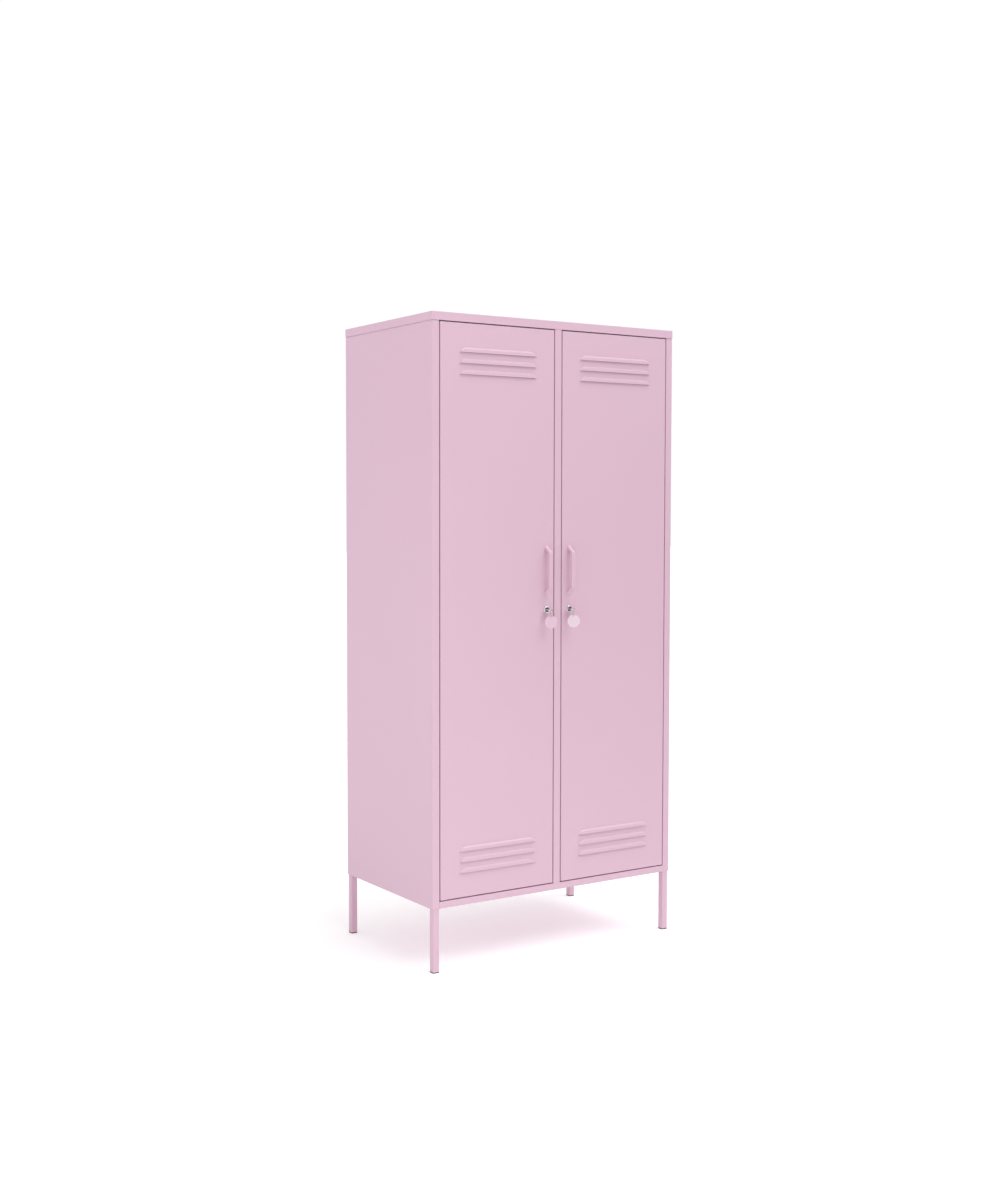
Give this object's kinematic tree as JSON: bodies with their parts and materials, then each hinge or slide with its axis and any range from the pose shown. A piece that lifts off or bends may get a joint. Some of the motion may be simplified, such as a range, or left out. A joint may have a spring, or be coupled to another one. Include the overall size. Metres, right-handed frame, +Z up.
{
  "type": "locker cabinet",
  "caption": "Tall sheet-steel locker cabinet on square tube legs, with hinged louvred doors, bow handles, cam locks with keys and tags, a hanging bay and a shelved bay.",
  "frame": {"origin": "on the floor, under the centre of the whole object's box, keys and tags included", "axes": "+X to the right seen from the front, +Y towards the back, +Z up; the doors face -Y"},
  "size_m": [0.857, 0.53, 1.83],
  "materials": {
    "pink_powder_coat": "satin powder coat",
    "zinc_steel": "bright zinc plate",
    "lock_chrome": "polished",
    "key_nickel": "nickel plate, lightly worn",
    "tag_pink": "moulded satin",
    "tag_pale_pink": "moulded satin",
    "white_nylon": "moulded",
    "black_glide": "moulded",
    "grey_rubber": "matt",
    "cam_steel": "yellow passivated plate"
  },
  "bodies": {
    "cabinet": {"top_panel": "pink_powder_coat", "left_side_panel": "pink_powder_coat", "right_side_panel": "pink_powder_coat", "back_panel": "pink_powder_coat", "base_panel": "pink_powder_coat", "centre_mullion": "pink_powder_coat", "centre_partition": "pink_powder_coat", "header_channel": "pink_powder_coat", "door_bumpers": "grey_rubber", "back_rivets": "zinc_steel", "leg_front_left": "pink_powder_coat", "leg_rear_left": "pink_powder_coat", "leg_front_right": "pink_powder_coat", "leg_rear_right": "pink_powder_coat", "leg_screws": "zinc_steel", "foot_glides": "black_glide", "left_hat_shelf": "pink_powder_coat", "left_shelf_clips": "pink_powder_coat", "right_shelf_clips": "pink_powder_coat", "hanging_rail": "zinc_steel", "rail_sockets": "white_nylon", "left_pivot_bushes": "white_nylon", "right_pivot_bushes": "white_nylon"},
    "right_shelf_1": {"right_shelf_1": "pink_powder_coat"},
    "right_shelf_2": {"right_shelf_2": "pink_powder_coat"},
    "right_shelf_3": {"right_shelf_3": "pink_powder_coat"},
    "left_door": {"left_door_panel": "pink_powder_coat", "left_door_stiffener": "pink_powder_coat", "left_pivot_pins": "zinc_steel", "left_handle": "pink_powder_coat", "left_handle_screws": "zinc_steel", "left_lock_barrel": "lock_chrome", "left_lock_nut": "zinc_steel"},
    "left_lock": {"left_lock_core": "lock_chrome", "left_lock_cam": "cam_steel", "left_cam_screw": "zinc_steel"},
    "left_key": {"left_key": "key_nickel"},
    "left_ring": {"left_key_ring": "key_nickel"},
    "left_tag": {"left_key_tag": "tag_pink"},
    "right_door": {"right_door_panel": "pink_powder_coat", "right_door_stiffener": "pink_powder_coat", "right_pivot_pins": "zinc_steel", "right_handle": "pink_powder_coat", "right_handle_screws": "zinc_steel", "right_lock_barrel": "lock_chrome", "right_lock_nut": "zinc_steel"},
    "right_lock": {"right_lock_core": "lock_chrome", "right_lock_cam": "cam_steel", "right_cam_screw": "zinc_steel"},
    "right_key": {"right_key": "key_nickel"},
    "right_ring": {"right_key_ring": "key_nickel"},
    "right_tag": {"right_key_tag": "tag_pale_pink"}
  },
  "joints": [
    {"name": "left_door_hinge", "type": "hinge", "parent": "cabinet", "child": "left_door", "pos_m": [-0.3935, -0.22208, 1.0018], "axis": [0, 0, -1], "range_deg": [0, 110]},
    {"name": "left_key_turn", "type": "hinge", "parent": "left_door", "child": "left_lock", "pos_m": [-0.0405, -0.22808, 1.0018], "axis": [0, 1, 0], "range_deg": [0, 90]},
    {"name": "left_key_pull", "type": "slide", "parent": "left_lock", "child": "left_key", "axis": [0, -1, 0], "range_m": [0, 0.018]},
    {"name": "left_ring_swing", "type": "hinge", "parent": "left_key", "child": "left_ring", "pos_m": [-0.0405, -0.24968, 1.0018], "axis": [-0.891, 0.454, 0], "range_deg": [0, 90]},
    {"name": "left_tag_swing", "type": "hinge", "parent": "left_ring", "child": "left_tag", "pos_m": [-0.04342, -0.25541, 0.98414], "axis": [0.454, 0.891, 0], "range_deg": [-40, 40]},
    {"name": "right_door_hinge", "type": "hinge", "parent": "cabinet", "child": "right_door", "pos_m": [0.3935, -0.22208, 1.0018], "axis": [0, 0, 1], "range_deg": [0, 110]},
    {"name": "right_key_turn", "type": "hinge", "parent": "right_door", "child": "right_lock", "pos_m": [0.0405, -0.22808, 1.0018], "axis": [0, -1, 0], "range_deg": [0, 90]},
    {"name": "right_key_pull", "type": "slide", "parent": "right_lock", "child": "right_key", "axis": [0, -1, 0], "range_m": [0, 0.018]},
    {"name": "right_ring_swing", "type": "hinge", "parent": "right_key", "child": "right_ring", "pos_m": [0.0405, -0.24968, 1.0018], "axis": [-0.891, 0.454, 0], "range_deg": [0, 90]},
    {"name": "right_tag_swing", "type": "hinge", "parent": "right_ring", "child": "right_tag", "pos_m": [0.03758, -0.25541, 0.98414], "axis": [0.454, 0.891, 0], "range_deg": [-40, 40]},
    {"name": "right_shelf_1_lift", "type": "slide", "parent": "cabinet", "child": "right_shelf_1", "axis": [0, 0, 1], "range_m": [0, 0.025]},
    {"name": "right_shelf_2_lift", "type": "slide", "parent": "cabinet", "child": "right_shelf_2", "axis": [0, 0, 1], "range_m": [0, 0.025]},
    {"name": "right_shelf_3_lift", "type": "slide", "parent": "cabinet", "child": "right_shelf_3", "axis": [0, 0, 1], "range_m": [0, 0.025]}
  ]
}
